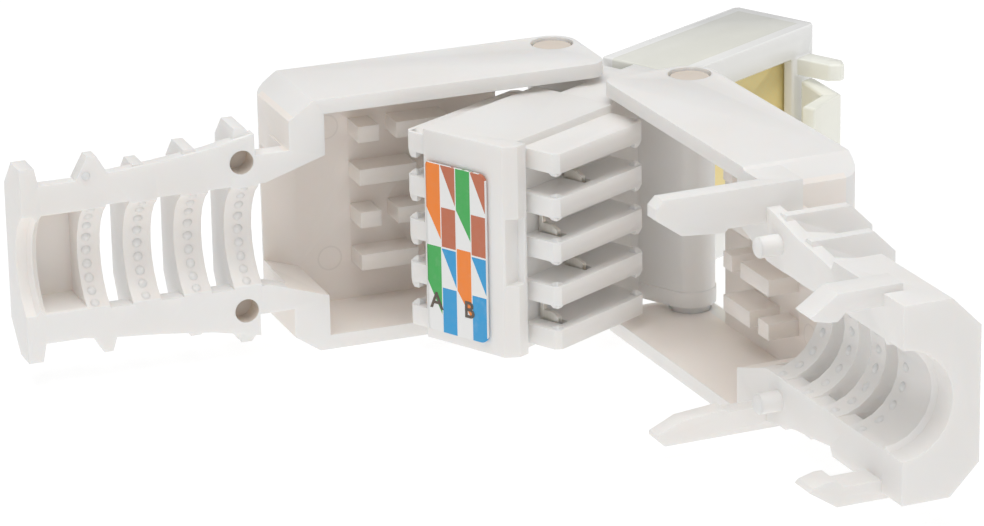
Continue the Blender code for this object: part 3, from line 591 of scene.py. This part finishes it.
def bare_fingers(points):
    """Levels the plain blocks at the fingers' outer corners, where the shaped barbs then stand.

    A point within 0.1 mm of a block's height over a finger's face, and inside the block's outline,
    goes back to that face.
    """
    rows = (np.arange(5) - 2) * FINGER_PITCH + MIDDLE
    off = points[:, 2:] - rows[None, :]
    row = np.abs(off).argmin(axis=1)
    lift = off[np.arange(len(points)), row]
    plan = (points[:, None, :2] - np.array(CENTRE)) - np.array(BLOCK_PLACES)[None] * MM
    inside = (np.abs(plan) < BLOCK_HALF).all(axis=2).any(axis=1)
    proud = inside & (np.abs(np.abs(lift) - FINGER_HALF - BLOCK_RISE) < 0.1 * MM)
    moved = points.copy()
    moved[proud, 2] = rows[row[proud]] + np.sign(lift[proud]) * FINGER_HALF
    return moved


def long_pocket(points):
    """Moves the left pocket's wall by the last rib nearer to the hinge, along the shell."""
    hinge = hinge_axis("left_half")
    turn = math.radians(OPEN_DEG[-1])
    across = hinge.x - points[:, 0]
    along = across * math.sin(turn) - (points[:, 1] - hinge.y) * math.cos(turn)
    wall = np.abs(along - POCKET_WALL) < 0.02 * MM
    moved = points.copy()
    moved[wall, 0] += POCKET_SHIFT * math.sin(turn)
    moved[wall, 1] += POCKET_SHIFT * math.cos(turn)
    return moved


def shell_points(side, points):
    """World points of a half shell's own (depth, distance from the hinge, height) points.

    The shell lies along -Y when closed, to the side given by the sign, and swings outwards about
    its hinge line by its opening angle.
    """
    depth, along, height = np.moveaxis(np.asarray(points, float), -1, 0)
    hinge = hinge_axis("right_half" if side > 0 else "left_half")
    turn = math.radians(OPEN_DEG[side])
    across = depth - HINGE_OFFSET
    x = across * math.cos(turn) + along * math.sin(turn)
    y = across * math.sin(turn) - along * math.cos(turn)
    return np.stack([hinge.x + side * x, hinge.y + y, height], -1)


def domes(centres, outward, radius, rise, rings=4, around=12):
    """Points and faces of low domes.

    A point is centre + radius * sin(a) * (cos(b) * u + sin(b) * v) + rise * cos(a) * outward, with
    a from a little under the foot up to the pole, b all the way round, and u, v square to outward.
    """
    centres = np.asarray(centres, float)[:, None, None, :]
    outward = np.asarray(outward, float)
    up = np.array([0.0, 0.0, 1.0])
    side = np.cross(outward, up + 0.37 * outward[..., [1, 2, 0]])
    side /= np.linalg.norm(side, axis=-1, keepdims=True)
    third = np.cross(outward, side)
    a = np.linspace(2.2, 0.02, rings)[None, :, None, None]
    b = np.linspace(0, 2 * math.pi, around, endpoint=False)[None, None, :, None]
    side, third, outward = (v[:, None, None, :] for v in (side, third, outward))
    verts = centres + radius * np.sin(a) * (np.cos(b) * side + np.sin(b) * third)
    verts = verts + rise * np.cos(a) * outward
    count = len(verts)
    base = (np.arange(count) * rings * around)[:, None, None]
    ring = (np.arange(rings - 1) * around)[None, :, None]
    step = np.arange(around)[None, None, :]
    after = (step + 1) % around
    low, high = base + ring, base + ring + around
    quads = np.stack(np.broadcast_arrays(low + step, low + after, high + after, high + step), -1)
    caps = base[:, :, 0] + np.arange((rings - 1) * around, rings * around)[None, :]
    feet = base[:, :, 0] + np.arange(around)[None, ::-1]
    return verts.reshape(-1, 3), quads.reshape(-1, 4).tolist() + caps.tolist() + feet.tolist()


class PLUG_OT_white(Operator):
    """Dresses the shells and the wire block in rounded white mouldings"""

    bl_idname = "plug.white_mouldings"
    bl_label = "White mouldings"

    def execute(self, context):
        finish = context.scene.plug_finish
        parts = (("left_shell", "left_half", white_look(finish, -1), long_pocket),
                 ("right_shell", "right_half", white_look(finish, 1), None),
                 ("wire_block", "plug", block_look(finish), bare_fingers))
        for node, body, look, reshape in parts:
            moulding(node, f"{node}_moulding", body, look, finish.edge,
                     finish.edge_steps, reshape)
        return {"FINISHED"}


class PLUG_OT_studs(Operator):
    """Adds the rows of gripping studs inside the ribs and the round ends of the two pegs"""

    bl_idname = "plug.studs"
    bl_label = "Studs and peg ends"

    def execute(self, context):
        detail = context.scene.plug_detail
        looks = {side: bpy.data.materials[f"white_plastic_look_{name}"] for side, name in SIDES}
        for side, body, offset in ((-1, "left_half", LEFT_SEAT_OFFSET), (1, "right_half", 0.0)):
            centres, inward = self.rows(side, offset, detail)
            verts, faces = domes(centres, inward, detail.stud_radius, detail.stud_rise)
            place_mesh(f"{body}_studs", verts, faces, body, looks[side])
        heights = [MIDDLE + sign * PEG_OFFSET for sign in (-1, 1)]
        tips = shell_points(1, [(-PEG_LENGTH, PEG_STATION, height) for height in heights])
        back = shell_points(1, [(0.0, PEG_STATION, height) for height in heights])
        outward = (tips - back) / PEG_LENGTH
        verts, faces = domes(tips, outward, PEG_RADIUS * 0.96, detail.peg_dome, 6, 24)
        place_mesh("peg_ends", verts, faces, "right_half", looks[1])
        pip, above = (shell_points(-1, [(depth, *PIP_PLACE)]) for depth in (PART, PART - MM))
        verts, faces = domes(pip, (above - pip) / MM, PIP_RADIUS, PIP_RISE, 4, 20)
        place_mesh("rail_pip", verts, faces, "left_half", looks[-1])
        return {"FINISHED"}

    def rows(self, side, offset, detail):
        """Stud centres on the ribs' round inner faces, and the way from each to the cable's centre.

        A centre is (radius * cos(t) - offset, rib's middle, middle + radius * sin(t)), with t at
        even steps over the arc that the rib shows.
        """
        radius = math.hypot(CABLE_RADIUS, offset)
        limit = math.asin(CABLE_RADIUS / radius) - 0.16
        t = np.linspace(-limit, limit, detail.stud_count)[None, :]
        along = (FIRST_RIB + RIB_WIDTH / 2 + RIB_PITCH * np.arange(RIB_COUNT))[:, None]
        t, along = np.broadcast_arrays(t, along)

        def ring(size):
            return shell_points(side, np.stack(
                [size * np.cos(t) - offset, along, MIDDLE + size * np.sin(t)], -1)).reshape(-1, 3)

        centres = ring(radius)
        return centres, (ring(radius - MM) - centres) / MM


class PLUG_OT_barbs(Operator):
    """Adds the wedge-shaped barbs at the outer corners of the wire block's fingers"""

    bl_idname = "plug.barbs"
    bl_label = "Finger barbs"

    def execute(self, context):
        detail = context.scene.plug_detail
        look = bpy.data.materials["block_plastic_look"]
        rows = (np.arange(5) - 2) * FINGER_PITCH + MIDDLE
        drops = np.array([detail.barb_drop, detail.barb_drop * 0.4, -BARB_SUNK])
        rises = np.array([-BARB_SUNK, detail.barb_rise * 0.5, detail.barb_rise])
        hanging = self.wedges(rows[1:], -1, drops, np.array(HANGING_HALVES) * MM)
        standing = self.wedges(rows[:-1], 1, rises, np.array(STANDING_HALVES) * MM)
        for name, (verts, faces) in (("hanging_barbs", hanging), ("standing_barbs", standing)):
            made = place_mesh(name, verts, faces, "plug", look, smooth=False)
            fillet = made.modifiers.new("fillet", "BEVEL")
            fillet.width = BARB_EDGE
            fillet.segments = 2
        return {"FINISHED"}

    def wedges(self, rows, way, reaches, halves):
        """Square rings carried up or down each barb.

        Corner (i, j) at a level is the barb's middle + half width * (i, j), at the finger's face
        and then reach * share beyond it, where the share is smaller beside the shells' bars.
        """
        places = np.array(BARB_PLACES)
        x, y = np.moveaxis(places[:, :2] * MM + np.array(CENTRE), -1, 0)
        feet = np.stack(np.broadcast_arrays(x[:, None], y[:, None], rows[None, :]), -1)
        feet = feet.reshape(-1, 3)
        share = np.repeat(places[:, 2], len(rows))[:, None]
        heights = way * (FINGER_HALF + share * reaches[None, :])
        corners = np.array([(-1, -1), (1, -1), (1, 1), (-1, 1)], float)
        flat = corners[None, :, :] * halves[:, None, None]
        verts = np.zeros((len(feet), len(halves), 4, 3)) + feet[:, None, None, :]
        verts[..., :2] += flat[None]
        verts[..., 2] += heights[:, :, None]
        base = (np.arange(len(feet)) * len(halves) * 4)[:, None, None]
        level = (np.arange(len(halves) - 1) * 4)[None, :, None]
        step = np.arange(4)[None, None, :]
        after = (step + 1) % 4
        low, high = base + level, base + level + 4
        quads = np.stack(np.broadcast_arrays(
            low + step, low + after, high + after, high + step), -1)
        top = base[:, :, 0] + (len(halves) - 1) * 4 + np.arange(4)[None, :]
        foot = base[:, :, 0] + np.arange(4)[None, ::-1]
        return verts.reshape(-1, 3), quads.reshape(-1, 4).tolist() + top.tolist() + foot.tolist()


class PLUG_OT_label(Operator):
    """Lays the printed wiring label and its two letters on the block's back"""

    bl_idname = "plug.label"
    bl_label = "Wiring label"

    def execute(self, context):
        colours = context.scene.plug_print
        verts, faces = self.sheet(colours.corner)
        label = place_mesh("printed_label", verts, faces, "plug", label_look(colours))
        thickness = label.modifiers.new("thickness", "SOLIDIFY")
        thickness.thickness = LABEL_THICKNESS
        thickness.offset = -1
        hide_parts("wiring_label")
        ink = Look("letter_ink_look", tuple(colours.ink), 0.6)
        ink.feed("Base Color", ink.blend(ink.noise(2500.0), tuple(colours.ink), (0.16, 0.12, 0.09)))
        for letter, x, z in LETTERS:
            self.letter(letter, x * MM, z * MM, colours.letter_size, ink.material)
        return {"FINISHED"}

    def sheet(self, corner):
        """A flat sheet with round corners on a grid of (across, up).

        A row at height z runs between the two sides, pulled in by
        corner - sqrt(corner^2 - (corner - gap)^2), where gap is its distance to the nearer end.
        """
        v = (1 - np.cos(np.linspace(0, math.pi, 41))) / 2
        z = LABEL_Z[0] + v * (LABEL_Z[1] - LABEL_Z[0])
        gap = np.minimum(z - LABEL_Z[0], LABEL_Z[1] - z)
        short = np.clip(corner - gap, 0, corner)
        inset = corner - np.sqrt(corner ** 2 - short ** 2)
        u = np.linspace(0, 1, 25)
        left = LABEL_X[0] + inset * 0.3
        right = LABEL_X[1] - inset
        x = left[:, None] + (right - left)[:, None] * u[None, :]
        verts = np.stack(np.broadcast_arrays(x + CENTRE[0], LABEL_FACE + CENTRE[1], z[:, None]), -1)
        cell = np.arange(len(z) - 1)[:, None] * len(u) + np.arange(len(u) - 1)[None, :]
        faces = np.stack([cell, cell + 1, cell + len(u) + 1, cell + len(u)], -1)
        return verts.reshape(-1, 3), faces.reshape(-1, 4).tolist()

    def letter(self, letter, x, z, size, material):
        curve = bpy.data.curves.new(f"letter_{letter}", "FONT")
        curve.body = letter
        curve.size = size
        curve.extrude = LETTER_HALF_DEPTH
        curve.offset = 0.02 * MM
        curve.align_x = "CENTER"
        curve.align_y = "CENTER"
        drawn = bpy.data.objects.new(f"letter_{letter}_drawn", curve)
        bpy.context.scene.collection.objects.link(drawn)
        bpy.context.view_layer.update()
        mesh = bpy.data.meshes.new_from_object(drawn)
        bpy.data.objects.remove(drawn)
        upright = Matrix.Rotation(math.radians(90), 4, "X")
        place = Matrix.Translation((CENTRE[0] + x, CENTRE[1] + LABEL_FACE - LETTER_LIFT, z))
        mesh.transform(place @ upright)
        made = bpy.data.objects.new(f"letter_{letter}", mesh)
        bpy.context.scene.collection.objects.link(made)
        mesh.materials.clear()
        mesh.materials.append(material)
        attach(made, "plug")


class PLUG_OT_clear(Operator):
    """Dresses the nose and the latch in clear plastic"""

    bl_idname = "plug.clear_mouldings"
    bl_label = "Clear mouldings"

    def execute(self, context):
        finish = context.scene.plug_finish
        look = clear_look(finish)
        for node, body in (("clear_housing", "plug"), ("latch_tab", "latch")):
            moulding(node, f"{node}_moulding", body, look, finish.clear_edge,
                     finish.edge_steps)
        return {"FINISHED"}


class PLUG_OT_metal(Operator):
    """Gives the contacts their gold and the wire blades their tin"""

    bl_idname = "plug.metal"
    bl_label = "Contacts and blades"

    def execute(self, context):
        finish = context.scene.plug_finish
        gold = metal_look("gold_look", tuple(finish.gold), 0.24, (300.0, 9000.0, 9000.0))
        tin = metal_look("tin_look", tuple(finish.tin), 0.34, (9000.0, 9000.0, 500.0))
        for node in sorted(NODES):
            if node.startswith("contact_"):
                moulding(node, f"{node}_strip", "plug", gold, finish.metal_edge, 2)
            if node.startswith("idc_blade_"):
                moulding(node, f"{node}_strip", "plug", tin, finish.metal_edge, 2)
        return {"FINISHED"}


class PLUG_OT_board(Operator):
    """Finishes the circuit board"""

    bl_idname = "plug.board"
    bl_label = "Circuit board"

    def execute(self, context):
        finish = context.scene.plug_finish
        look = board_look(finish)
        moulding("circuit_board", "circuit_board_laminate", "plug", look,
                 finish.metal_edge, 1)
        return {"FINISHED"}


class PLUG_OT_stage(Operator):
    """Sets the floor, the lights, the white surround and the camera"""

    bl_idname = "plug.stage"
    bl_label = "Stage"

    def execute(self, context):
        settings = context.scene.plug_stage
        self.floor(settings)
        self.lights(settings)
        self.camera(settings)
        context.scene.view_settings.view_transform = "Standard"
        return {"FINISHED"}

    def floor(self, settings):
        half = settings.floor_size / 2
        verts = [(-half, -half, 0), (half, -half, 0), (half, half, 0), (-half, half, 0)]
        mesh = bpy.data.meshes.new("floor")
        mesh.from_pydata(verts, [], [(0, 1, 2, 3)])
        floor = bpy.data.objects.new("floor", mesh)
        bpy.context.scene.collection.objects.link(floor)
        look = Look("floor_look", (0.3, 0.3, 0.3), 0.9, Emission_Color=(1.0, 1.0, 1.0),
                    Emission_Strength=0.8, Specular_IOR_Level=0.0)
        mesh.materials.append(look.material)

    def lights(self, settings):
        world = bpy.data.worlds.new("surround")
        world.use_nodes = True
        world.node_tree.nodes["Background"].inputs["Color"].default_value = (1.0, 1.0, 1.0, 1.0)
        world.node_tree.nodes["Background"].inputs["Strength"].default_value = settings.sky
        bpy.context.scene.world = world
        self.area("key", (0.03, -0.06, 0.36), 0.36, settings.key)
        self.area("fill", (0.32, -0.20, 0.16), 0.20, settings.fill)

    def area(self, name, place, size, power):
        light = bpy.data.lights.new(name, "AREA")
        light.shape = "DISK"
        light.size = size
        light.energy = power
        made = bpy.data.objects.new(name, light)
        made.location = place
        aim = Vector((0.0, 0.0, 0.007)) - Vector(place)
        made.rotation_euler = aim.to_track_quat("-Z", "Y").to_euler()
        bpy.context.scene.collection.objects.link(made)

    def camera(self, settings):
        az, el, roll = settings.azimuth, settings.elevation, settings.roll
        back = Vector((math.sin(az) * math.cos(el), -math.cos(az) * math.cos(el), math.sin(el)))
        right = Vector((math.cos(az), math.sin(az), 0.0))
        up = back.cross(right)
        turned = right * math.cos(roll) + up * math.sin(roll)
        tilted = up * math.cos(roll) - right * math.sin(roll)
        data = bpy.data.cameras.new("camera")
        data.lens = settings.lens
        data.sensor_width = 36.0
        made = bpy.data.objects.new("camera", data)
        turn = Matrix((turned, tilted, back)).transposed().to_4x4()
        made.matrix_world = Matrix.Translation(settings.eye) @ turn
        bpy.context.scene.collection.objects.link(made)
        bpy.context.scene.camera = made


class PLUG_PT_panel(Panel):
    """Lists the dressing steps and their settings."""

    bl_label = "Network plug"
    bl_space_type = "VIEW_3D"
    bl_region_type = "UI"
    bl_category = "Plug"

    def draw(self, context):
        for step in STEPS:
            self.layout.operator(step)
        for group in ("plug_finish", "plug_detail", "plug_print", "plug_stage"):
            settings = getattr(context.scene, group)
            box = self.layout.box()
            for name in settings.__annotations__:
                box.prop(settings, name)


STEPS = ("plug.white_mouldings", "plug.studs", "plug.barbs", "plug.label", "plug.clear_mouldings",
         "plug.metal", "plug.board", "plug.stage")
CLASSES = (
    PlugFinish, PlugDetail, PlugPrint, PlugStage, PLUG_OT_white, PLUG_OT_studs, PLUG_OT_barbs,
    PLUG_OT_label, PLUG_OT_clear, PLUG_OT_metal, PLUG_OT_board, PLUG_OT_stage, PLUG_PT_panel)


def register():
    for item in CLASSES:
        bpy.utils.register_class(item)
    bpy.types.Scene.plug_finish = PointerProperty(type=PlugFinish)
    bpy.types.Scene.plug_detail = PointerProperty(type=PlugDetail)
    bpy.types.Scene.plug_print = PointerProperty(type=PlugPrint)
    bpy.types.Scene.plug_stage = PointerProperty(type=PlugStage)


def unregister():
    del bpy.types.Scene.plug_stage
    del bpy.types.Scene.plug_print
    del bpy.types.Scene.plug_detail
    del bpy.types.Scene.plug_finish
    for item in reversed(CLASSES):
        bpy.utils.unregister_class(item)


def main():
    register()
    for step in STEPS:
        group, name = step.split(".")
        getattr(getattr(bpy.ops, group), name)()


if __name__ == "__main__":
    main()
